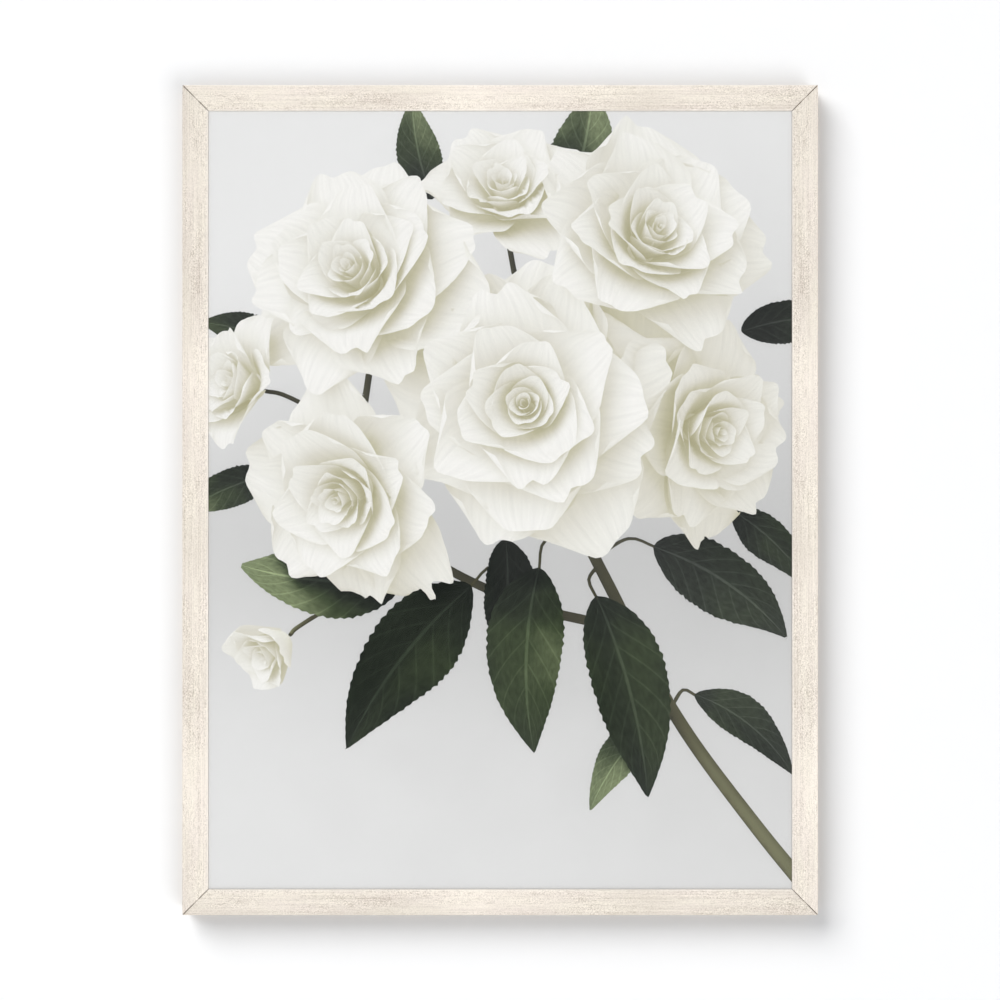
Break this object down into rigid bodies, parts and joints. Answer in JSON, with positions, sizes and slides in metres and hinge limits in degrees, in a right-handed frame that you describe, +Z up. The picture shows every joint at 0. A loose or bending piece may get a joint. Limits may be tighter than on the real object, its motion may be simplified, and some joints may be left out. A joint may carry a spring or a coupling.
{
  "type": "framed print",
  "caption": "Upright rectangular print behind clear acrylic in a mitred champagne wood frame, with a closed back, sawtooth hanger and wall bumpers.",
  "frame": {"origin": "middle notch of the sawtooth hanger, in the plane of the rails' back faces", "axes": "+Z up, +Y towards the wall, +X to the right as seen from the front"},
  "size_m": [0.49, 0.028, 0.64],
  "materials": {
    "champagne_wood": "brushed champagne leaf finish on a wood moulding, raw wood on the back",
    "clear_acrylic": "clear polished acrylic sheet",
    "printed_paper": "matte printed paper, pale grey ground with white and dark green",
    "foam_core": "white paper-faced foam board",
    "hardboard": "plain brown hardboard",
    "galvanised_steel": "galvanised spring steel",
    "brass_plate": "brass-plated stamped steel",
    "soft_pad": "soft translucent grey pad"
  },
  "bodies": {
    "root": {"rail_top": "champagne_wood", "rail_bottom": "champagne_wood", "rail_left": "champagne_wood", "rail_right": "champagne_wood", "glazing_pane": "clear_acrylic", "print_sheet": "printed_paper", "foam_board": "foam_core", "backing_board": "hardboard", "point_top_1": "galvanised_steel", "point_top_2": "galvanised_steel", "point_top_3": "galvanised_steel", "point_right_1": "galvanised_steel", "point_right_2": "galvanised_steel", "point_right_3": "galvanised_steel", "point_right_4": "galvanised_steel", "point_bottom_1": "galvanised_steel", "point_bottom_2": "galvanised_steel", "point_bottom_3": "galvanised_steel", "point_left_1": "galvanised_steel", "point_left_2": "galvanised_steel", "point_left_3": "galvanised_steel", "point_left_4": "galvanised_steel", "v_nail_top_left_outer": "galvanised_steel", "v_nail_top_left_inner": "galvanised_steel", "v_nail_top_right_outer": "galvanised_steel", "v_nail_top_right_inner": "galvanised_steel", "v_nail_bottom_left_outer": "galvanised_steel", "v_nail_bottom_left_inner": "galvanised_steel", "v_nail_bottom_right_outer": "galvanised_steel", "v_nail_bottom_right_inner": "galvanised_steel", "hanger_sawtooth": "brass_plate", "hanger_nail_left": "brass_plate", "hanger_nail_right": "brass_plate", "bumper_left": "soft_pad", "bumper_right": "soft_pad"}
  },
  "joints": []
}
